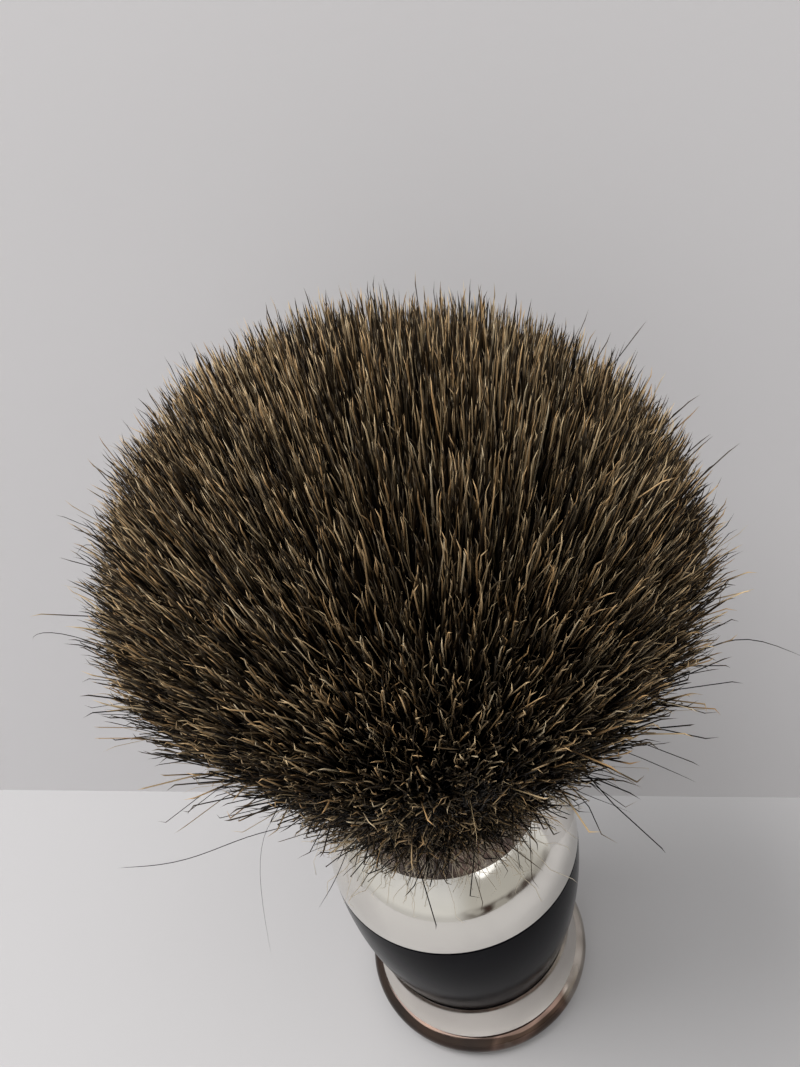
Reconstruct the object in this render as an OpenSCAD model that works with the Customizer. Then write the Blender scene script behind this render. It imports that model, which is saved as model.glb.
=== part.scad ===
// Shaving brush: a splayed badger knot glued in a cup, held in a chrome collar on a handle
// that is a chrome cap, a turned black resin grip and a chrome flared foot, drawn together
// by one screw from below. Everything is turned about Z and stands on Z = 0.

/* [Foot] */
// Widest diameter, across the chrome foot ring
foot_d = 33; // [30:0.5:42]
// Height of the rounded foot ring
foot_ring_h = 3.2; // [2.4:0.1:4.5]
// How far the soft pad stands out below the foot ring
pad_lift = 0.3; // [0.1:0.1:0.8]
// Diameter of the soft pad
pad_d = 26; // [18:0.5:27.5]
// Thickness of the soft pad
pad_t = 1.5; // [0.8:0.1:1.8]
// Diameter at the seam between the foot ring and the flared foot
foot_seam_d = 30.4; // [28.6:0.1:31]
// Height of the flared foot above its ring
lower_shell_h = 5.2; // [4:0.1:12]
// How far the flare is hollowed inwards from a straight cone
flare_sag = 0.5; // [0.2:0.1:1]
// Wall of the flared foot
lower_shell_wall = 1.6; // [1:0.1:2.2]
// Thickness of the web across the top of the flared foot
lower_web_t = 1.4; // [0.8:0.1:2]

/* [Grip] */
// Height of the black resin grip
grip_h = 20.2; // [14:0.1:45]
// Diameter at the top of the grip, the widest of the handle
grip_top_d = 34; // [28.4:0.5:42]
// Diameter at the bottom of the grip
grip_bottom_d = 28; // [23.4:0.5:30]
// How far the side of the grip swells out of a straight taper
grip_sag = 0.8; // [0.3:0.1:2]
// Bore through the grip for the spacer tube
grip_bore_d = 9.2; // [7:0.1:12]

/* [Cap and collar] */
// Height of the domed chrome cap
cap_h = 8.8; // [7.4:0.1:14]
// Wall of the chrome cap
cap_wall = 1.4; // [1:0.1:1.8]
// Height of the moulded core inside the cap
cap_core_h = 6; // [5:0.1:6.2]
// Outer diameter of the chrome collar
collar_d = 25.2; // [21:0.1:27.6]
// Height of the chrome collar
collar_h = 5.8; // [4.5:0.1:9]
// Wall of the chrome collar
collar_wall = 1.1; // [0.8:0.1:1.4]

/* [Knot] */
// Wall of the knot cup
cup_wall = 0.9; // [0.6:0.1:1.2]
// Thickness of the cup's floor
cup_floor_t = 1.2; // [0.8:0.1:1.6]
// Depth of the glue plug above the cup's floor
glue_h = 5.6; // [4:0.1:7]
// How deep the hair roots stand in the glue
root_sink = 4.2; // [2:0.1:4.6]
// Thickness of the binding thread
thread_d = 0.5; // [0.3:0.05:0.6]
// Turns of the binding thread
thread_turns = 3; // [2:1:4]
// Widest diameter of the splayed hair
tuft_d = 67; // [44:1:84]
// Height of the hair above the collar
tuft_h = 60.2; // [42:0.2:76]
// Height of the widest part of the hair above the collar
tuft_wide_h = 35; // [26:0.5:41]
// Angle that the hair can be bent to either side, in degrees
bend_angle = 20; // [10:1:24]
// Clearance between the bending hair and the standing roots
bend_gap = 0.3; // [0.2:0.05:0.6]

/* [Fixings] */
// Diameter of the screw that draws the handle together
screw_d = 3.9; // [3:0.1:5]
// Diameter of the screw's countersunk head
screw_head_d = 7.6; // [6.5:0.1:9]
// Height of the countersunk head
screw_head_h = 1.7; // [1.2:0.1:1.9]
// Wall of the spacer tube
tube_wall = 2.2; // [1:0.1:2.4]
// Thickness of the lock washer
washer_t = 0.5; // [0.4:0.1:0.8]
// Diameter of the threaded insert
insert_d = 8; // [6.4:0.1:9]
// Depth of the threaded insert
insert_h = 3.1; // [2.4:0.1:3.2]
// Diameter of the flange on the threaded insert
insert_flange_d = 10; // [9.2:0.1:11]
// Thickness of that flange
insert_flange_t = 0.6; // [0.4:0.1:0.8]
// Thickness of the gaskets above and below the grip
gasket_t = 0.4; // [0.3:0.05:0.8]
// How far the gaskets sit back from the faces beside them
gasket_set_back = 0.35; // [0.2:0.05:0.6]
// Clearance of a piece in its hole, all round
fit_gap = 0.05; // [0.03:0.01:0.15]

/* [Hidden] */
$fn = 128;

// Levels, from the table up
ring_z = pad_lift;
plate_z = pad_t;
shell_z = ring_z + foot_ring_h;
web_z = shell_z + lower_shell_h - lower_web_t;
lower_gasket_z = shell_z + lower_shell_h;
grip_z = lower_gasket_z + gasket_t;
upper_gasket_z = grip_z + grip_h;
cap_z = upper_gasket_z + gasket_t;
collar_z = cap_z + cap_h;
rim_z = collar_z + collar_h;
cup_z = cap_z + insert_h + fit_gap;
cup_top_z = rim_z - collar_wall / 2;
glue_z = cup_z + cup_floor_t;
glue_top_z = glue_z + glue_h;

// Radii
foot_r = foot_d / 2;
seam_r = foot_seam_d / 2;
bead_r = foot_ring_h / 2;
plate_r = foot_r - 2 * bead_r + 0.9;
weight_r = seam_r - lower_shell_wall - 1.4;
grip_low_r = grip_bottom_d / 2;
grip_top_r = grip_top_d / 2;
grip_bore_r = grip_bore_d / 2;
collar_r = collar_d / 2;
cup_r = collar_r - collar_wall;
knot_r = cup_r - cup_wall;
root_r = knot_r - thread_d - 0.3;
tube_r = grip_bore_r - fit_gap;
screw_r = screw_d / 2;
screw_hole_r = screw_r + fit_gap;

// The cap's shoulder is one arc, upright at the grip and meeting the collar's foot
shoulder_in = grip_top_r - collar_r;
cap_arc_r = (shoulder_in ^ 2 + cap_h ^ 2) / (2 * shoulder_in);
cap_arc_x = grip_top_r - cap_arc_r;

// The hair bends about a point on the axis, level with the collar's rim
pivot_z = rim_z;
root_dome_r = knot_r - 0.1;
tuft_hollow_r = root_dome_r + bend_gap;
brim_angle = bend_angle + 4;
brim_r = collar_r + 1.6;

// Radius of the arc that stands a given height off a chord
function arc_radius(chord, sag) = (chord ^ 2 / 4 + sag ^ 2) / (2 * sag);

// One point of a curve bent by a single control point
function bend_point(a, b, c, t) = (1 - t) ^ 2 * a + 2 * t * (1 - t) * b + t ^ 2 * c;

module ring(inner_r, outer_r, z, h) {
    translate([0, 0, z]) difference() {
        cylinder(r = outer_r, h = h);
        translate([0, 0, -1]) cylinder(r = inner_r, h = h + 2);
    }
}

// The filled half outline of the cap, stepped in from its surface by inset
module cap_outline(inset, h) {
    intersection() {
        translate([cap_arc_x, cap_z]) circle(r = cap_arc_r - inset);
        translate([0, cap_z]) square([grip_top_r, h]);
    }
}

module foot_pad() {
    color([0.06, 0.06, 0.07]) cylinder(d = pad_d, h = pad_t);
}

module foot_ring() {
    color([0.75, 0.73, 0.7]) rotate_extrude() difference() {
        union() {
            translate([plate_r, ring_z]) square([foot_r - bead_r - plate_r, foot_ring_h]);
            translate([foot_r - bead_r, ring_z + bead_r]) circle(r = bead_r);
        }
        translate([0, ring_z - 1]) square([plate_r, foot_ring_h + 2]);
    }
}

module base_plate() {
    color([0.5, 0.5, 0.52]) translate([0, 0, plate_z]) difference() {
        cylinder(r = plate_r, h = shell_z - plate_z);
        translate([0, 0, -1]) cylinder(r = screw_hole_r, h = shell_z);
        cylinder(r1 = screw_head_d / 2 + fit_gap, r2 = screw_hole_r, h = screw_head_h);
    }
}

module lower_shell() {
    rise = lower_shell_h;
    run = seam_r - grip_low_r;
    chord = sqrt(rise ^ 2 + run ^ 2);
    flare_r = arc_radius(chord, flare_sag);
    mid = [(seam_r + grip_low_r) / 2, shell_z + rise / 2];
    out = [rise, run] / chord;
    color([0.75, 0.73, 0.7]) rotate_extrude() difference() {
        translate([0, shell_z]) square([seam_r, rise]);
        translate(mid + out * (flare_r - flare_sag)) circle(r = flare_r);
        translate([0, shell_z - 1]) square([weight_r + fit_gap, web_z - shell_z + 1]);
        translate([0, shell_z]) square([grip_bore_r, rise + 1]);
    }
}

module base_weight() {
    color([0.35, 0.35, 0.37]) ring(screw_hole_r, weight_r, shell_z, web_z - shell_z);
}

module lower_gasket() {
    color([0.1, 0.1, 0.1])
        ring(grip_bore_r + 0.4, grip_low_r - gasket_set_back, lower_gasket_z, gasket_t);
}

module grip_body() {
    run = grip_top_r - grip_low_r;
    chord = sqrt(grip_h ^ 2 + run ^ 2);
    swell_r = arc_radius(chord, grip_sag);
    mid = [(grip_top_r + grip_low_r) / 2, grip_z + grip_h / 2];
    out = [grip_h, -run] / chord;
    color([0.04, 0.04, 0.05]) rotate_extrude() difference() {
        intersection() {
            translate([0, grip_z]) square([grip_top_r + grip_sag, grip_h]);
            translate(mid - out * (swell_r - grip_sag)) circle(r = swell_r, $fn = 720);
        }
        translate([0, grip_z - 1]) square([grip_bore_r, grip_h + 2]);
    }
}

module spacer_tube() {
    color([0.75, 0.6, 0.3]) ring(tube_r - tube_wall, tube_r, web_z, cap_z - washer_t - web_z);
}

module tie_screw() {
    tip_z = cup_z - 0.3;
    color([0.6, 0.6, 0.62]) difference() {
        union() {
            translate([0, 0, plate_z]) cylinder(r = screw_r, h = tip_z - plate_z);
            translate([0, 0, plate_z])
                cylinder(r1 = screw_head_d / 2, r2 = screw_r, h = screw_head_h - fit_gap);
        }
        translate([0, 0, plate_z - 1]) cylinder(r = 1.4, h = 2.2, $fn = 6);
    }
}

module lock_washer() {
    color([0.6, 0.6, 0.62]) ring(screw_hole_r + 0.1, tube_r - 0.1, cap_z - washer_t, washer_t);
}

module threaded_insert() {
    color([0.75, 0.6, 0.3]) difference() {
        union() {
            translate([0, 0, cap_z]) cylinder(d = insert_flange_d, h = insert_flange_t);
            translate([0, 0, cap_z]) cylinder(d = insert_d, h = insert_h);
        }
        translate([0, 0, cap_z - 1]) cylinder(r = screw_hole_r, h = insert_h + 2);
    }
}

module upper_gasket() {
    color([0.1, 0.1, 0.1])
        ring(grip_bore_r + 0.4, grip_top_r - gasket_set_back, upper_gasket_z, gasket_t);
}

module upper_shell() {
    color([0.75, 0.73, 0.7]) rotate_extrude() difference() {
        cap_outline(0, cap_h);
        cap_outline(cap_wall, cap_h - cap_wall);
        translate([0, cap_z]) square([cup_r + fit_gap, cap_h + 1]);
    }
}

module cap_core() {
    color([0.3, 0.3, 0.32]) rotate_extrude() difference() {
        cap_outline(cap_wall + fit_gap, cap_core_h);
        translate([0, cap_z - 1]) square([insert_d / 2 + fit_gap, insert_h + 2]);
        translate([0, cap_z - 1]) square([insert_flange_d / 2 + fit_gap, insert_flange_t + 1]);
        translate([0, cup_z]) square([cup_r + fit_gap, cap_core_h]);
    }
}

module collar_gasket() {
    color([0.1, 0.1, 0.1]) ring(cup_r + fit_gap, collar_r - 0.4, collar_z, gasket_t);
}

module ferrule_collar() {
    lip_r = collar_wall / 2;
    color([0.72, 0.7, 0.68]) rotate_extrude() difference() {
        union() {
            translate([cup_r, collar_z]) square([collar_wall, collar_h - lip_r]);
            translate([collar_r - lip_r, rim_z - lip_r]) circle(r = lip_r);
        }
        translate([0, collar_z - 1]) square([collar_r - 0.4 + fit_gap, gasket_t + 1]);
    }
}

module knot_cup() {
    color([0.15, 0.15, 0.16]) translate([0, 0, cup_z]) difference() {
        cylinder(r = cup_r, h = cup_top_z - cup_z);
        translate([0, 0, cup_floor_t]) cylinder(r = knot_r, h = cup_top_z - cup_z);
    }
}

module glue_plug() {
    color([0.6, 0.5, 0.3]) translate([0, 0, glue_z]) difference() {
        cylinder(r = knot_r, h = glue_h);
        translate([0, 0, glue_h - root_sink]) cylinder(r = root_r, h = glue_h);
    }
}

module binding_thread() {
    color([0.85, 0.82, 0.75]) for (turn = [0 : thread_turns - 1])
        translate([0, 0, glue_top_z + thread_d * (turn + 0.6)]) rotate_extrude()
            translate([root_r + thread_d / 2, 0]) circle(d = thread_d, $fn = 24);
}

module hair_roots() {
    flare_z = glue_top_z + thread_d * (thread_turns + 0.2);
    color([0.1, 0.08, 0.07]) rotate_extrude() {
        polygon([[0, glue_top_z - root_sink], [root_r, glue_top_z - root_sink],
                 [root_r, flare_z], [root_dome_r, pivot_z], [0, pivot_z]]);
        intersection() {
            translate([0, pivot_z]) circle(r = root_dome_r);
            translate([0, pivot_z]) square(root_dome_r);
        }
    }
}

module hair_tuft() {
    widest = [tuft_d / 2, tuft_wide_h];
    brim = brim_r * [cos(brim_angle), sin(brim_angle)];
    flank_pull = [tuft_d * 0.43, tuft_wide_h * 0.68];
    flank = [for (t = [0 : 0.1 : 1]) bend_point(brim, flank_pull, widest, t)];
    dome = [for (a = [9 : 9 : 81])
            [widest[0] * cos(a), tuft_wide_h + (tuft_h - tuft_wide_h) * sin(a)]];
    color([0.16, 0.12, 0.09]) translate([0, 0, pivot_z]) rotate_extrude() difference() {
        polygon(concat([[0, 0]], flank, dome, [[0, tuft_h]]));
        circle(r = tuft_hollow_r);
    }
}

foot_pad();
foot_ring();
base_plate();
lower_shell();
base_weight();
lower_gasket();
grip_body();
spacer_tube();
tie_screw();
lock_washer();
threaded_insert();
upper_gasket();
upper_shell();
cap_core();
collar_gasket();
ferrule_collar();
knot_cup();
glue_plug();
binding_thread();
hair_roots();
hair_tuft();
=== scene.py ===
import math

import bpy
import numpy as np
from mathutils import Matrix, Vector
from mathutils.kdtree import KDTree


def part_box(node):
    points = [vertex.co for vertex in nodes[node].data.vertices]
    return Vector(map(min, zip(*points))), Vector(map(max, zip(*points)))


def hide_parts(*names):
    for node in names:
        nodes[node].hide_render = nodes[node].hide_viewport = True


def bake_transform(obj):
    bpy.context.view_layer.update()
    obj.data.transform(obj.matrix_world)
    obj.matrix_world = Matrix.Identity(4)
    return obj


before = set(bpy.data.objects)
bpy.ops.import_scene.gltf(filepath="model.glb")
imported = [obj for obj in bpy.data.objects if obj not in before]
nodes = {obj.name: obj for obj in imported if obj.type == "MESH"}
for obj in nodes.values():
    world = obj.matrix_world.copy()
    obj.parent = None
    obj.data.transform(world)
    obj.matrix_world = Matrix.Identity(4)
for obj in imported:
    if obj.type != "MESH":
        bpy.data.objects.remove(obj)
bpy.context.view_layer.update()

# --- The camera and the setting ---------------------------------------------------------------
# The brush stands on a pale table, close in front of a pale backdrop that leans a little away.
# The camera looks down on it from in front, turned slightly, as a telephone held by hand.


def mm(*lengths):
    """Millimetres as metres: one number, an array of them, or the three of a point."""
    return lengths[0] / 1000 if len(lengths) == 1 else Vector(lengths) / 1000


def let_go():
    """Deselects everything, so that the next operator acts on its own piece alone."""
    bpy.ops.object.select_all(action="DESELECT")


camera_data = bpy.data.cameras.new("camera")
camera_data.sensor_width = 36
camera_data.lens = 28.6785
camera_data.clip_start = mm(5)
camera = bpy.data.objects.new("camera", camera_data)
camera.location = mm(2.1, -72.1, 131.1)
looks_down, turned = math.radians(35), math.radians(-12.8)
aim = Matrix.Rotation(math.pi / 2 - looks_down, 3, "X") @ Matrix.Rotation(turned, 3, "Z")
camera.rotation_euler = aim.to_euler()
bpy.context.collection.objects.link(camera)
bpy.context.scene.camera = camera
bpy.context.scene.view_settings.view_transform = "Standard"


class Wire:
    """A node's output. Python arithmetic on it adds Math nodes."""

    def __init__(self, finish, socket):
        self.finish, self.socket = finish, socket

    def _math(self, operation, *values):
        return self.finish.node(
            "ShaderNodeMath", {"operation": operation}, dict(enumerate(values))
        )

    def __add__(self, other):
        return self._math("ADD", self, other)

    def __sub__(self, other):
        return self._math("SUBTRACT", self, other)

    def __rsub__(self, other):
        return self._math("SUBTRACT", other, self)

    def __mul__(self, other):
        return self._math("MULTIPLY", self, other)

    __radd__, __rmul__ = __add__, __mul__


class Nodes:
    """A node tree that is built up in code, for a material or for the room's light."""

    def __init__(self, tree):
        self.tree = tree

    def node(self, kind, settings=None, sockets=None, output=0):
        """Adds a node: its settings first, then values or wires for its sockets."""
        made = self.tree.nodes.new(kind)
        for name, value in (settings or {}).items():
            if name == "stops":
                ramp = made.color_ramp.elements
                while len(ramp) < len(value):
                    ramp.new(0.5)
                for element, (place, colour) in zip(ramp, value):
                    element.position, element.color = place, (*colour, 1)
            else:
                setattr(made, name, value)
        for name, value in (sockets or {}).items():
            self.join(made.inputs[name], value)
        return Wire(self, made.outputs[output])

    def join(self, socket, value):
        """Sets one socket: a wire is linked, and a colour gets its alpha."""
        if isinstance(value, Wire):
            self.tree.links.new(value.socket, socket)
        else:
            socket.default_value = (*value, 1) if type(value) is tuple else value

    def parts(self, vector):
        """The three numbers of a vector."""
        split = self.node("ShaderNodeSeparateXYZ", {}, {0: vector}).socket.node
        return [Wire(self, socket) for socket in split.outputs]

    def between(self, value, low, high, to_low=0.0, to_high=1.0, shape="LINEAR"):
        """Stretches a value's range onto another, held at its ends."""
        return self.node(
            "ShaderNodeMapRange",
            {"interpolation_type": shape},
            {"Value": value, 1: low, 2: high, 3: to_low, 4: to_high},
        )

    def mix(self, factor, one, other, blend="MIX"):
        """One colour turning into another."""
        return self.node(
            "ShaderNodeMix",
            {"data_type": "RGBA", "blend_type": blend},
            {"Factor": factor, 6: one, 7: other},
            output=2,
        )


class Finish(Nodes):
    """A material built up from one Principled shader."""

    def __init__(self, name, **plain):
        self.material = bpy.data.materials.new(name)
        self.material.use_nodes = True
        super().__init__(self.material.node_tree)
        self.shader = self.tree.nodes["Principled BSDF"]
        self.feed(**plain)

    def feed(self, **sockets):
        """Sets the shader's own sockets, named with _ for a space."""
        for name, value in sockets.items():
            self.join(self.shader.inputs[name.replace("_", " ")], value)

    def place(self):
        """The piece's own coordinates, in metres."""
        return self.node("ShaderNodeTexCoord", output="Object")

    def noise(self, per_mm, detail=2.0):
        """Cloudy noise with that many swells in a millimetre."""
        return self.node(
            "ShaderNodeTexNoise",
            {},
            {"Vector": self.place(), "Scale": per_mm * 1000, "Detail": detail},
        )

    def turned(self, per_mm, detail=2.0):
        """Fine lines round the piece, as a lathe, a polishing wheel or a cloth leaves them."""
        along_x, along_y, up = self.parts(self.place())
        squares = along_x * along_x + along_y * along_y
        out = self.node("ShaderNodeMath", {"operation": "SQRT"}, {0: squares})
        return self.node(
            "ShaderNodeTexNoise",
            {"noise_dimensions": "1D"},
            {"W": (out + up * 0.83) * (per_mm * 1000), "Detail": detail},
        )

    def bump(self, height, depth_mm, strength=1.0):
        """A normal for relief of that depth, where height goes from 0 to 1."""
        return self.node(
            "ShaderNodeBump",
            {},
            {"Height": height, "Distance": mm(depth_mm), "Strength": strength},
        )

    def on(self, *pieces):
        """Puts the finish on every slot of these pieces."""
        for piece in pieces:
            if not piece.material_slots:
                piece.data.materials.append(self.material)
            for slot in piece.material_slots:
                slot.material = self.material


def sheet_of(name, corners):
    """A flat stage sheet through four corners."""
    let_go()
    bpy.ops.mesh.primitive_plane_add(size=2)
    sheet = bpy.context.object
    sheet.name = name
    for vertex, corner in zip(sheet.data.vertices, corners):
        vertex.co = corner
    return sheet


# The table's back edge, where the backdrop rises, runs between these two points
edge_left, edge_right = mm(-92.4, 55.6, 0), mm(58.5, 12.5, 0)
along = (edge_right - edge_left).normalized()
away = Vector((-along.y, along.x, 0))
reach_side, reach_front, rise, lean = mm(420), mm(330), mm(420), mm(110)
middle = (edge_left + edge_right) / 2
back_left, back_right = middle - along * reach_side, middle + along * reach_side
table = sheet_of(
    "table",
    [
        back_left - away * reach_front,
        back_right - away * reach_front,
        back_left + away * reach_front,
        back_right + away * reach_front,
    ],
)
table_white = Finish("pale_laminate", Base_Color=(0.47, 0.463, 0.47), Roughness=0.6)
table_white.feed(Normal=table_white.bump(table_white.noise(1.5, 4), 0.02, 0.3))
table_white.on(table)
up_and_back = away * lean + Vector((0, 0, rise))
backdrop = sheet_of(
    "backdrop", [back_left, back_right, back_left + up_and_back, back_right + up_and_back]
)
wall_white = Finish("pale_wall", Base_Color=(0.56, 0.55, 0.565), Roughness=0.9)
wall_white.feed(Normal=wall_white.bump(wall_white.noise(0.8, 5), 0.05, 0.3))
# The backdrop has a front only, so the brush can be looked at from behind as well
behind = wall_white.node("ShaderNodeNewGeometry", output="Backfacing")
unseen = wall_white.node("ShaderNodeBsdfTransparent")
wall = Wire(wall_white, wall_white.shader.outputs[0])
shown = wall_white.node("ShaderNodeMixShader", {}, {0: behind, 1: wall, 2: unseen})
wall_white.join(wall_white.tree.nodes["Material Output"].inputs["Surface"], shown)
wall_white.on(backdrop)


def softbox(name, at, aimed_at, size, watts, colour):
    """A square soft light."""
    data = bpy.data.lights.new(name, "AREA")
    data.shape, data.size, data.energy, data.color = "SQUARE", size, watts, colour
    light = bpy.data.objects.new(name, data)
    light.location = at
    light.rotation_euler = (aimed_at - at).to_track_quat("-Z", "Y").to_euler()
    bpy.context.collection.objects.link(light)


brush_middle = mm(0, 0, 60)
softbox("window", mm(-350, 30, 840), brush_middle, 0.5, 6.0, (1.0, 0.99, 0.98))
softbox("ceiling", mm(240, -240, 700), brush_middle, 0.6, 1.4, (0.98, 0.99, 1.0))

# The room that the chrome mirrors: pale walls, dimmer in front and to the right, where whoever
# looks at the brush stands, and there a dark, warm band near the horizon, in broken lengths.
world = bpy.data.worlds.new("room")
bpy.context.scene.world = world
world.use_nodes = True
room = Nodes(world.node_tree)
side, ahead, height = room.parts(room.node("ShaderNodeTexCoord", output="Generated"))
walls = room.node(
    "ShaderNodeValToRGB",
    {
        "stops": [
            (0.0, (0.45, 0.44, 0.43)),
            (0.48, (0.6, 0.59, 0.57)),
            (0.54, (0.76, 0.75, 0.72)),
            (0.75, (0.74, 0.735, 0.72)),
            (1.0, (0.6, 0.6, 0.61)),
        ]
    },
    {"Fac": height * 0.5 + 0.5},
)
in_front = room.between(ahead, -0.1, -0.5, shape="SMOOTHSTEP")
beside = room.between(side, -0.25, 0.1, shape="SMOOTHSTEP")
onlooker = room.mix(in_front * beside * 0.75, walls, (0.42, 0.4, 0.35))
low = room.between(height, -0.22, -0.06, shape="SMOOTHSTEP")
not_high = room.between(height, 0.14, 0.04, shape="SMOOTHSTEP")
toward = room.node("ShaderNodeTexCoord", output="Generated")
uneven = room.node("ShaderNodeTexNoise", {}, {"Vector": toward, "Scale": 5.0, "Detail": 1.0})
band = low * not_high * in_front * room.between(side, -0.2, 0.15)
band = band * room.between(uneven, 0.38, 0.56, 0.25, 1.0)
mirrored = room.mix(band, onlooker, (0.05, 0.033, 0.026))
# Past the edges of the table and the backdrop there is only a plain grey to see
looked_at = room.node("ShaderNodeLightPath", output="Is Camera Ray")
seen = room.mix(looked_at, mirrored, (0.6, 0.595, 0.59))
room.join(room.tree.nodes["Background"].inputs["Color"], seen)

# --- The foot pad -------------------------------------------------------------------------------
# A disc of closed-cell foam stuck into the foot's underside, so the brush stands without
# scratching. It is cut from sheet: its skin has small open cells and picks up pale dust.
foam = Finish("pad_foam", Specular_IOR_Level=0.25)
cells = foam.node(
    "ShaderNodeTexVoronoi",
    {"feature": "SMOOTH_F1"},
    {"Vector": foam.place(), "Scale": 4200.0, "Smoothness": 0.4},
)
dust = foam.between(foam.noise(0.35, 5), 0.5, 0.72)
foam.feed(Base_Color=foam.mix(dust * 0.5, (0.022, 0.022, 0.025), (0.12, 0.115, 0.11)))
foam.feed(Roughness=0.82 + dust * 0.12, Normal=foam.bump(cells, 0.12, 0.7))
foam.on(nodes["foot_pad"])

# --- The foot ring ------------------------------------------------------------------------------
# A bead rolled round the foot's edge, brass plated with chrome like the shells above it. Broad
# dark brown blotches in its colour are painted reflection of the dark, warm things round it.


def reflection_painted_plate(name, painted_reflections_per_mm):
    """Chrome plate with broad dark brown blotches of painted reflection, bright between them."""
    plate = Finish(name, Metallic=1.0)
    # The dark brown stops are painted reflection of dark, warm surroundings; the last stop is
    # bright chrome.
    painted_reflections = plate.node(
        "ShaderNodeValToRGB",
        {
            "stops": [
                (0.3, (0.05, 0.04, 0.036)),
                (0.47, (0.075, 0.052, 0.042)),
                (0.55, (0.17, 0.112, 0.09)),
                (0.62, (0.11, 0.075, 0.06)),
                (0.74, (0.5, 0.46, 0.41)),
            ]
        },
        {"Fac": plate.noise(painted_reflections_per_mm, 2)},
    )
    film = plate.between(plate.noise(0.5, 4), 0.45, 0.7)
    plate.feed(Base_Color=painted_reflections, Roughness=film * 0.1 + 0.09)
    plate.feed(Normal=plate.bump(plate.turned(5), 0.004, 0.25))
    return plate


reflection_painted_plate("chrome_painted_reflection_foot", 0.1).on(nodes["foot_ring"])

# --- The base plate and the weight --------------------------------------------------------------
# The plate is a zinc-plated steel pressing, spangled and a little yellow at its passivation.
# The weight on it is turned from plain bar, wiped with oil and starting to rust in its grooves.
zinc = Finish("zinc_steel", Metallic=1.0)
spangle = zinc.node("ShaderNodeTexVoronoi", {}, {"Vector": zinc.place(), "Scale": 700.0})
yellow = zinc.between(zinc.noise(0.2, 3), 0.45, 0.7)
zinc_colour = zinc.mix(yellow * 0.45, (0.56, 0.57, 0.6), (0.62, 0.56, 0.4))
zinc.feed(Base_Color=zinc_colour, Roughness=0.22 + spangle * 0.22)
zinc.feed(Normal=zinc.bump(zinc.turned(7), 0.01, 0.4))
zinc.on(nodes["base_plate"], nodes["tie_screw"], nodes["lock_washer"])

steel = Finish("raw_steel", Metallic=1.0)
grooves = steel.turned(4, 3)
rust = steel.between(grooves, 0.58, 0.7) * steel.between(steel.noise(0.3, 4), 0.45, 0.65)
steel.feed(Base_Color=steel.mix(rust, (0.3, 0.3, 0.32), (0.16, 0.075, 0.035)))
steel.feed(Roughness=0.3 + rust * 0.45, Normal=steel.bump(grooves, 0.03, 0.7))
steel.on(nodes["base_weight"])

# --- The chrome shells --------------------------------------------------------------------------
# The flare under the grip and the dome over it are spun brass, polished and chrome plated.
# The plate is bright, with a film of finger marks and hairlines from years of wiping dry.


def chrome(name, tint, marks):
    """Bright plate, a little duller where fingers have been."""
    plate = Finish(name, Metallic=1.0)
    smears = plate.between(plate.noise(0.11, 3), 0.42, 0.68)
    plate.feed(Base_Color=plate.mix(smears * 0.7, tint, tuple(0.84 * c for c in tint)))
    scratches = plate.between(plate.turned(9, 1), 0.66, 0.74)
    plate.feed(Roughness=smears * marks + scratches * 0.06 + 0.07)
    plate.feed(Normal=plate.bump(plate.noise(0.09, 1), 0.12, 0.35))
    return plate


chrome("chrome_flare", (0.74, 0.7, 0.655), 0.12).on(nodes["lower_shell"])
chrome("chrome_cap", (0.78, 0.755, 0.71), 0.1).on(nodes["upper_shell"])

# --- The gaskets --------------------------------------------------------------------------------
# Three thin rings of black rubber, one under the grip, one over it and one under the collar.
# They are punched from sheet and keep water out of the joints; their skin is matt and bloomed.
rubber = Finish("gasket_rubber", Specular_IOR_Level=0.3)
bloom = rubber.between(rubber.noise(0.8, 4), 0.48, 0.7)
rubber.feed(Base_Color=rubber.mix(bloom, (0.014, 0.014, 0.014), (0.035, 0.034, 0.033)))
rubber.feed(Roughness=0.62 + bloom * 0.25, Normal=rubber.bump(rubber.noise(9, 2), 0.01, 0.5))
rubber.on(nodes["lower_gasket"], nodes["upper_gasket"], nodes["collar_gasket"])

# --- The grip -----------------------------------------------------------------------------------
# Cast black resin, turned to a barrel that narrows to the foot, and buffed. The buffing wheel
# leaves faint lines round it, and soap leaves a thin cloudy film in places.
resin = Finish("black_resin", Specular_IOR_Level=0.03)
cloud = resin.between(resin.noise(0.12, 4), 0.45, 0.72)
resin.feed(Base_Color=resin.mix(cloud, (0.003, 0.003, 0.0045), (0.0065, 0.007, 0.0095)))
resin.feed(Roughness=0.15 + cloud * 0.12 + resin.between(resin.turned(8, 1), 0.6, 0.75) * 0.06)
resin.feed(Normal=resin.bump(resin.turned(3), 0.006, 0.3))
resin.on(nodes["grip_body"])

# --- The brass fittings -------------------------------------------------------------------------
# The spacer tube that the tie screw pulls against and the threaded insert in the cap's core.
# Both are turned from brass bar: bright in the grooves, browner on the skin.
brass = Finish("turned_brass", Metallic=1.0)
tool_lines = brass.turned(5, 2)
tarnish = brass.between(brass.noise(0.4, 4), 0.4, 0.68)
brass.feed(Base_Color=brass.mix(tarnish, (0.72, 0.55, 0.27), (0.4, 0.26, 0.12)))
brass.feed(Roughness=0.2 + tarnish * 0.25, Normal=brass.bump(tool_lines, 0.02, 0.6))
brass.on(nodes["spacer_tube"], nodes["threaded_insert"])

# --- The cap's core and the knot cup ------------------------------------------------------------
# Two black nylon mouldings: the core fills the dome and holds the insert, the cup holds the
# knot in the collar. Spark-eroded moulds give them a fine, dull grain with paler flow marks.
nylon = Finish("moulded_core", Specular_IOR_Level=0.35)
flow = nylon.between(nylon.noise(0.25, 2), 0.4, 0.7)
nylon.feed(Base_Color=nylon.mix(flow, (0.016, 0.016, 0.018), (0.034, 0.034, 0.037)))
nylon.feed(Roughness=0.5 + flow * 0.2, Normal=nylon.bump(nylon.noise(6, 3), 0.02, 0.6))
nylon.on(nodes["cap_core"], nodes["knot_cup"])
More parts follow.
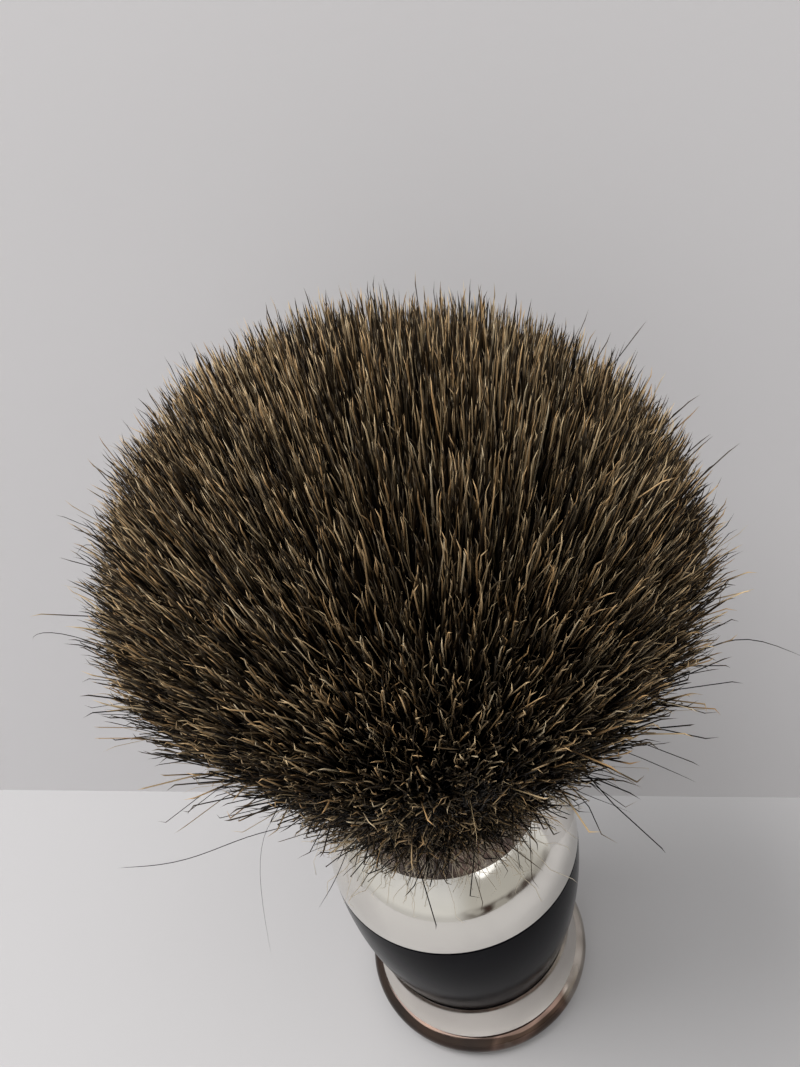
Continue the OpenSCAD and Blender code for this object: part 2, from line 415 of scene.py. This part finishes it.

# --- The collar ---------------------------------------------------------------------------------
# A short brass tube with a rolled lip, plated, that the knot cup is pressed into. Its colour
# holds the foot ring's dark brown blotches of painted reflection.
reflection_painted_plate("chrome_painted_reflection_collar", 0.17).on(nodes["ferrule_collar"])

# --- The glue plug and the binding --------------------------------------------------------------
# Amber epoxy, cast over the hair's roots, with trapped bubbles and hair dust in it. Waxed
# linen thread is wound round the roots before the glue goes in.
glue = Finish("epoxy_glue", Specular_IOR_Level=0.5)
bubbles = glue.node(
    "ShaderNodeTexVoronoi", {"feature": "F1"}, {"Vector": glue.place(), "Scale": 900.0}
)
pits = glue.between(bubbles, 0.18, 0.3)
murk = glue.noise(0.3, 4)
glue.feed(Base_Color=glue.mix(murk, (0.5, 0.34, 0.13), (0.28, 0.17, 0.06)))
glue.feed(Roughness=0.32 - pits * 0.18, Normal=glue.bump(pits, 0.06, 0.6))
glue.on(nodes["glue_plug"])

thread = Finish("waxed_thread", Specular_IOR_Level=0.4)
thread_x, thread_y, thread_z = thread.parts(thread.place())
wound = thread.node("ShaderNodeMath", {"operation": "ARCTAN2"}, {0: thread_y, 1: thread_x})
strand_lay = wound * 190.0 + thread_z * 9000.0
twist = thread.node("ShaderNodeMath", {"operation": "SINE"}, {0: strand_lay})
fluff = thread.noise(1.2, 4)
thread.feed(Base_Color=thread.mix(fluff, (0.74, 0.69, 0.57), (0.5, 0.44, 0.32)))
thread.feed(Roughness=0.45 + fluff * 0.2, Normal=thread.bump(twist * 0.5 + 0.5, 0.05, 0.8))
thread.on(nodes["binding_thread"])

# --- The hair ---------------------------------------------------------------------------------
# A knot of dry badger hair, splayed wide: near-black hairs with short tan tips, no two alike.
# They are set in glue as one bundle, and come out of the collar drawn together in small locks.
# Each hair is a thin three-sided rod, closed at both ends, that follows its own curve.
rng = np.random.default_rng(21)
rim_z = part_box("ferrule_collar")[1][2]
crown_low, crown_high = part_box("hair_tuft")
crown_r = (crown_high[0] - crown_low[0]) / 2
crown_top = crown_high[2]
root_r = mm(9.8)
root_depth = mm(1.0)
wide_z = rim_z + mm(35)
SIDES = 3
# Hairs are of 128 kinds, and a kind sets the colour
KINDS = 128
# Where a lock hair's rings lie between its root and its tip, and how thick it is at each
along_hair = np.array([0, 0.3, 0.52, 0.68, 0.81, 0.905, 0.985, 1.0])
thickness_along = np.array([0.75, 1.0, 1.0, 0.98, 0.94, 0.9, 0.8, 0.0])


def unit(vectors):
    """The same directions, one long."""
    return vectors / (np.linalg.norm(vectors, axis=-1, keepdims=True) + 1e-12)


def curve(roots, control, tips, along):
    """Points on one curve a hair, from its root towards control and then to its tip."""
    t = along[None, :, None]
    return (1 - t) ** 2 * roots[:, None] + 2 * t * (1 - t) * control[:, None] + t**2 * tips[:, None]


def strands(name, paths, radii, kinds, colour_along):
    """Many thin closed hairs as one mesh. paths is hairs by rings by 3.

    Its UV map holds the hair's kind across, and how far along its colours the hair is up.
    """
    hairs, rings, _ = paths.shape
    tangent = unit(np.gradient(paths, axis=1))
    helper = np.where(np.abs(tangent[..., 2:3]) < 0.9, [[[0.0, 0, 1]]], [[[1.0, 0, 0]]])
    side = unit(np.cross(tangent, helper))
    other = np.cross(tangent, side)
    corner = (np.arange(SIDES) * 2 * np.pi / SIDES)[None, None, :, None]
    spokes = side[:, :-1, None] * np.cos(corner) + other[:, :-1, None] * np.sin(corner)
    around = paths[:, :-1, None] + spokes * radii[:, :-1, None, None]
    points = np.concatenate([around.reshape(hairs, -1, 3), paths[:, -1:]], axis=1)
    per_hair = (rings - 1) * SIDES + 1

    # One hair's faces: the rod's sides, the tip's triangles and the root's cap
    ring = np.arange(rings - 2)[:, None] * SIDES
    k = np.arange(SIDES)[None]
    after = (k + 1) % SIDES
    quads = np.stack([ring + k, ring + after, ring + SIDES + after, ring + SIDES + k], -1)
    quads = quads.reshape(-1, 4)
    last = (rings - 2) * SIDES
    tips = np.stack([last + k[0], last + after[0], np.full(SIDES, per_hair - 1)], -1)
    cap = np.arange(SIDES)[::-1]
    hair_loops = np.concatenate([quads.ravel(), tips.ravel(), cap])
    first_point = (np.arange(hairs) * per_hair)[:, None]
    loops = (first_point + hair_loops[None]).ravel()
    sizes = np.tile(np.array([4] * len(quads) + [3] * SIDES + [SIDES]), hairs)
    starts = np.concatenate([[0], np.cumsum(sizes)[:-1]])

    mesh = bpy.data.meshes.new(name)
    mesh.vertices.add(hairs * per_hair)
    mesh.vertices.foreach_set("co", points.ravel())
    mesh.loops.add(len(loops))
    mesh.loops.foreach_set("vertex_index", loops.astype(np.int32))
    mesh.polygons.add(len(sizes))
    mesh.polygons.foreach_set("loop_start", starts.astype(np.int32))
    mesh.polygons.foreach_set("use_smooth", np.ones(len(sizes), bool))
    mesh.update(calc_edges=True)

    # Each face takes a strip inside its kind's column of the map, clear of the columns beside it
    column_start, column_end = (kinds + 0.15) / KINDS, (kinds + 0.85) / KINDS
    quads_end = len(quads) * 4
    tips_end = quads_end + 3 * SIDES
    at_end = np.zeros(len(hair_loops), bool)
    at_end[:quads_end] = np.tile([False, True, True, False], len(quads))
    at_end[quads_end:tips_end] = np.tile([False, True, True], SIDES)
    at_end[tips_end:] = [False, True, True]
    u = np.where(at_end[None], column_end[:, None], column_start[:, None])
    ring_of = np.concatenate([np.repeat(np.arange(rings - 1), SIDES), [rings - 1]])
    v = np.broadcast_to(colour_along, (hairs, rings))[:, ring_of[hair_loops]]
    uv = mesh.uv_layers.new(name="OFBake")
    uv.data.foreach_set("uv", np.stack([u, v * 0.98 + 0.01], -1).astype(np.float32).ravel())
    made = bpy.data.objects.new(name, mesh)
    bpy.context.collection.objects.link(made)
    return made


def reach(turn):
    """The crown's radius at a turn: worn in on its left, gappy beside that, full front right."""

    def toward(angle, width):
        off = np.abs((turn - math.radians(angle) + np.pi) % (2 * np.pi) - np.pi) / width
        return np.where(off < 1, 0.5 + 0.5 * np.cos(np.pi * np.minimum(off, 1)), 0)

    worn, gap, full = toward(186, 1.35), toward(235, 0.6), toward(-55, 0.65)
    return crown_r * (0.975 - 0.1 * worn - 0.08 * gap + 0.04 * full)


def crown_tips(count):
    """Tip places over the crown, as turn, share of the widest radius and height."""
    turn = rng.uniform(0, 2 * np.pi, count)
    # Most tips make the dome above the widest place
    share = rng.uniform(0, 1, count)
    out = np.sqrt(1 - share**2)
    high = wide_z + (crown_top - wide_z) * share
    # The rest make the flank that narrows from there towards the collar
    flank_share, flank_height, flank_in = 0.26, mm(29), 0.55
    on_flank = rng.uniform(size=count) < flank_share
    drop = rng.uniform(0, 1, count) ** 1.25
    out = np.where(on_flank, 1.0 - flank_in * drop, out)
    high = np.where(on_flank, wide_z - drop * flank_height, high)
    far = out * reach(turn)
    return turn, out, np.stack([far * np.cos(turn), far * np.sin(turn), high], 1)


def over_the_lip(paths, far):
    """Lifts the hairs that would pass through the collar's lip, out to a radius of far."""
    out = np.linalg.norm(paths[..., :2], axis=-1)
    least = np.where((out > mm(10.1)) & (out < far), rim_z + mm(0.3), rim_z - mm(4))
    paths[..., 2] = np.maximum(paths[..., 2], least)
    return paths


def crown_paths(count, clumps):
    """Hair paths from the roots to the crown's outline, drawn together in small locks."""
    turn, out, tips = crown_tips(count)
    _, _, locks = crown_tips(clumps)
    tree = KDTree(clumps)
    for i, place in enumerate(locks):
        tree.insert(place, i)
    tree.balance()
    own_lock = np.array([tree.find(place)[1] for place in tips])
    pull = rng.uniform(0.0, 0.25, count)[:, None]
    tips = tips + (locks[own_lock] - tips) * pull

    # A hair's root lies in the bundle about where its tip lies in the crown
    root_out = np.clip(out * rng.normal(0.97, 0.06, count), 0, 1)
    root_turn = turn + rng.normal(0, 0.14, count)
    flat = np.stack([np.cos(root_turn), np.sin(root_turn)], 1) * root_out[:, None]
    roots = np.concatenate([flat * root_r, np.full((count, 1), rim_z - root_depth)], 1)

    # Half the hairs come up to the outline, and the others end at any depth below it
    lock_length = rng.uniform(0.96, 1.0, clumps)
    full_length = rng.uniform(size=count) < 0.5
    short_by = np.where(full_length, rng.uniform(0, 0.025, count), rng.exponential(0.08, count))
    length = lock_length[own_lock] * np.clip(1.0 - short_by, 0.5, 1.0)
    tips = roots + (tips - roots) * length[:, None]
    rise = np.linalg.norm(tips - roots, axis=1, keepdims=True)
    tips = tips + np.clip(rng.normal(0, 1, (count, 3)), -2, 2) * rise * 0.018

    # They leave the collar upright, and then lean out
    heading = unit(np.concatenate([flat * 0.42, np.full((count, 1), 0.9)], 1))
    control = roots + heading * rise * 0.36
    paths = curve(roots, control, tips, along_hair)

    # A long wave, then a hook towards the tip and a fine crinkle, both stronger on lower hairs
    t = along_hair[None, :, None]
    wave = rng.normal(0, 1, (count, 2, 3))
    across = unit(tips - control)[:, None]
    wave -= (wave * across).sum(-1, keepdims=True) * across
    paths = paths + wave[:, :1] * np.sin(np.pi * t) * mm(0.45)
    lowness = np.clip((crown_top - tips[:, 2]) / (crown_top - rim_z), 0, 1)[:, None, None]
    hook = np.clip((t - 0.66) / 0.34, 0, 1) ** 1.7
    strength = (0.35 + rng.exponential(0.7, count)[:, None, None]) * (1.15 + 0.6 * lowness**2)
    paths = paths + np.clip(wave[:, 1:2], -2, 2) * hook * strength * mm(0.85)
    crinkle = np.clip(rng.normal(0, 1, paths.shape), -2, 2) * np.clip((t - 0.4) / 0.3, 0, 1)
    return over_the_lip(paths + crinkle * (mm(0.1) + mm(0.62) * lowness**2), crown_r)


def hair_finish(name):
    """Near-black hair with a short tan tip. A hair's kind makes it darker, paler or warmer."""
    hair = Finish(name, Roughness=0.48, Specular_IOR_Level=0.16)
    across, up, _ = hair.parts(hair.node("ShaderNodeUVMap", {"uv_map": "OFBake"}))
    kind = hair.node("ShaderNodeMath", {"operation": "FLOOR"}, {0: across * KINDS})

    def chance(seed):
        return hair.node("ShaderNodeTexWhiteNoise", {"noise_dimensions": "1D"}, {"W": kind + seed})

    tone = hair.node(
        "ShaderNodeValToRGB",
        {
            "stops": [
                (0.0, (0.007, 0.0055, 0.0045)),
                (0.6, (0.0045, 0.0035, 0.003)),
                (0.895, (0.009, 0.0062, 0.0046)),
                (0.94, (0.06, 0.042, 0.023)),
                (0.97, (0.7, 0.535, 0.32)),
            ]
        },
        {"Fac": up + (chance(0.37) - 0.5) * 0.1},
    )
    black_all_along = hair.between(chance(5.1), 0.33, 0.45)
    tone = hair.mix(black_all_along * 0.92, tone, (0.006, 0.0048, 0.0044))
    deeper = hair.between(chance(17.9), 0.22, 1.0, 0.0, 0.82)
    tone = hair.mix(deeper, tone, hair.mix(1.0, tone, (0.3, 0.28, 0.26), "MULTIPLY"))
    pale = hair.between(chance(9.7), 0.955, 0.97) * hair.between(up, 0.55, 0.8)
    tone = hair.mix(pale, tone, (0.62, 0.52, 0.36))
    warm = hair.between(chance(13.3), 0.0, 1.0, 0.0, 0.75)
    tone = hair.mix(warm, tone, hair.mix(1.0, tone, (0.86, 0.64, 0.42), "MULTIPLY"))
    hair.feed(Base_Color=tone)
    return hair


def hang_on_knot(piece):
    """Bakes the hair piece's placing into its mesh."""
    rim_z + mm(18)
    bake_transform(piece)


badger = hair_finish("badger_hair")
lock_pieces, hairs_per_piece, locks_in_crown = 8, 4700, 1300
lock_hairs = lock_pieces * hairs_per_piece
lock_paths = crown_paths(lock_hairs, locks_in_crown)
lock_radii = mm(rng.uniform(0.042, 0.1, lock_hairs))[:, None] * thickness_along
lock_kinds = rng.integers(0, KINDS, lock_hairs)
for number in range(lock_pieces):
    own = slice(number * hairs_per_piece, (number + 1) * hairs_per_piece)
    name = f"hair_locks_{number + 1}"
    part = strands(name, lock_paths[own], lock_radii[own], lock_kinds[own], along_hair)
    badger.on(part)
    hang_on_knot(part)
    if number == 0:
        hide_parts("hair_tuft", "hair_roots")

# --- The fringe and the underfur --------------------------------------------------------------
# Short, crooked hairs from the knot's outside, which lie out over the collar and hide its rim,
# with the knot's pale, very fine underfur caught among them.
lip_out = mm(12.7)


def over_the_rim(count, reach_mm, shape, low_slope, high_slope, curl):
    """Short crooked hairs that come out between the knot and the collar's lip."""
    turn = rng.uniform(0, 2 * np.pi, count)
    out = lip_out + mm(reach_mm) * rng.uniform(0, 1, count) ** shape
    high = rim_z + mm(0.8) + (out - lip_out) * rng.uniform(low_slope, high_slope, count)
    root_out = rng.uniform(mm(8.6), mm(9.8), count)
    heading = np.stack([np.cos(turn), np.sin(turn)], 1)
    root_z = np.full((count, 1), rim_z - mm(0.8))
    roots = np.concatenate([heading * root_out[:, None], root_z], 1)
    tip_turn = turn + rng.normal(0, 0.2, count)
    tips = np.stack([out * np.cos(tip_turn), out * np.sin(tip_turn), high], 1)
    bend_out = (root_out * 0.75 + out * 0.25)[:, None]
    bend_up = (rim_z + rng.uniform(mm(1.2), mm(3.8), count))[:, None]
    control = np.concatenate([heading * bend_out, bend_up], 1)
    paths = curve(roots, control, tips, along_hair)
    loose = np.clip((along_hair[None, :, None] - 0.3) / 0.5, 0, 1)
    kinks = np.cumsum(np.clip(rng.normal(0, 1, paths.shape), -2, 2), axis=1) * [1, 1, 0.7]
    return over_the_lip(paths + kinks * loose * mm(curl), mm(14.2))


fringe_hairs = 4200
fringe_paths = over_the_rim(fringe_hairs, 8, 1.4, 0.5, 2.1, 0.28)
fringe_radii = mm(rng.uniform(0.035, 0.085, fringe_hairs))[:, None] * thickness_along
# The fringe's tan part is longer than a lock hair's, by a different length on each hair
tan_from = 1 - (1 - along_hair)[None] * rng.uniform(0.08, 1.0, fringe_hairs)[:, None]
fringe_kinds = rng.integers(0, KINDS, fringe_hairs)
fringe = strands("hair_fringe", fringe_paths, fringe_radii, fringe_kinds, tan_from)
badger.on(fringe)
hang_on_knot(fringe)

underfur_hairs = 1000
underfur_paths = over_the_rim(underfur_hairs, 6.5, 0.9, -0.3, 0.75, 0.6)
underfur_radii = mm(rng.uniform(0.03, 0.05, underfur_hairs))[:, None] * thickness_along
underfur_kinds = rng.integers(0, KINDS, underfur_hairs)
underfur = strands("hair_underfur", underfur_paths, underfur_radii, underfur_kinds, along_hair)
down = Finish("pale_underfur", Roughness=0.6, Specular_IOR_Level=0.3)
_, down_up, _ = down.parts(down.node("ShaderNodeUVMap", {"uv_map": "OFBake"}))
down.feed(Base_Color=down.mix(down_up, (0.5, 0.4, 0.28), (0.74, 0.66, 0.53)))
down.on(underfur)
hang_on_knot(underfur)

# --- The fuzz -----------------------------------------------------------------------------------
# Hairs much finer than the rest, all through the crown, dark below and a soft tan at their
# tips. They are part of the same bundle, set in the same glue.
fuzz_hairs = 2600
fuzz_paths = crown_paths(fuzz_hairs, locks_in_crown)
fuzz_radii = mm(rng.uniform(0.02, 0.034, fuzz_hairs))[:, None] * thickness_along
fuzz_kinds = rng.integers(0, KINDS, fuzz_hairs)
fuzz = strands("hair_fuzz", fuzz_paths, fuzz_radii, fuzz_kinds, along_hair)
wisp = Finish("tan_fuzz", Roughness=0.55, Specular_IOR_Level=0.3)
_, wisp_up, _ = wisp.parts(wisp.node("ShaderNodeUVMap", {"uv_map": "OFBake"}))
tan_tip = wisp.between(wisp_up, 0.7, 0.95)
wisp.feed(Base_Color=wisp.mix(tan_tip, (0.012, 0.009, 0.007), (0.5, 0.38, 0.22)))
wisp.on(fuzz)
hang_on_knot(fuzz)

# --- The stray hairs ----------------------------------------------------------------------------
# Single hairs that have worked loose and stand out from the knot, each a long bow. Those in
# front and at the sides are placed one by one, and sixteen more stand out round the back.
# Each is a place that the hair passes, the place of its tip and its radius, in millimetres.
strays = [
    ((-30, 3.5, 68), (-42, 7.5, 72.4), 0.05),
    ((-23, -11, 52.5), (-38, -9, 48), 0.05),
    ((-18, -11, 55), (-23, -19.5, 41.5), 0.022),
    ((23, -14, 67), (37, -18.5, 70.5), 0.055),
    ((12, -9, 49), (18.5, -18, 51.5), 0.045),
    ((13, -8, 50), (20, -14.5, 49), 0.04),
    ((12.5, -10, 48), (15, -17.5, 51), 0.045),
    ((17, -12, 56), (25, -19, 56), 0.045),
    ((-11, -11, 47), (-15.5, -15.5, 44.5), 0.05),
    ((-4, -13, 47), (-6.5, -15.6, 45.6), 0.03),
    ((6, -12, 47), (8.5, -15, 46.4), 0.03),
]
strays_behind = 16
for _ in range(strays_behind):
    turn, drop = rng.uniform(-0.3, np.pi + 0.3), rng.uniform(0, 26)
    out = 25 - drop * 0.2
    passed = (out * math.cos(turn), out * math.sin(turn), 80 - drop)
    tip_out = out * rng.uniform(1.3, 1.5)
    turn += rng.normal(0, 0.12)
    tip = (tip_out * math.cos(turn), tip_out * math.sin(turn), 82 - drop * 1.15)
    strays.append((passed, tip, rng.uniform(0.03, 0.055)))
stray_passes = mm(np.array([passed for passed, _, _ in strays]))
stray_tips = mm(np.array([tip for _, tip, _ in strays]))
stray_roots = unit(stray_passes * [1, 1, 0]) * mm(8.5) + [0, 0, rim_z - mm(0.8)]
stray_control = 2 * stray_passes - 0.5 * (stray_roots + stray_tips)
stray_rings = np.linspace(0, 1, 22)
stray_paths = curve(stray_roots, stray_control, stray_tips, stray_rings)
t = stray_rings[None, :, None]
swing = rng.uniform(2, 5, (len(strays), 1, 3)) * t * 2 + rng.uniform(0, 6, (len(strays), 1, 3))
stray_paths += np.sin(swing) * np.clip((t - 0.4) / 0.6, 0, 1) * mm(0.9)
taper = np.clip((1 - stray_rings) * 6, 0, 1) ** 0.7
stray_radii = mm(np.array([radius for _, _, radius in strays]))[:, None] * taper
stray_kinds = rng.integers(0, KINDS, len(strays))
# They stop short of the colours' pale end, so most strays are dark to their tips
stray = strands("hair_strays", stray_paths, stray_radii, stray_kinds, stray_rings * 0.86)
badger.on(stray)
hang_on_knot(stray)
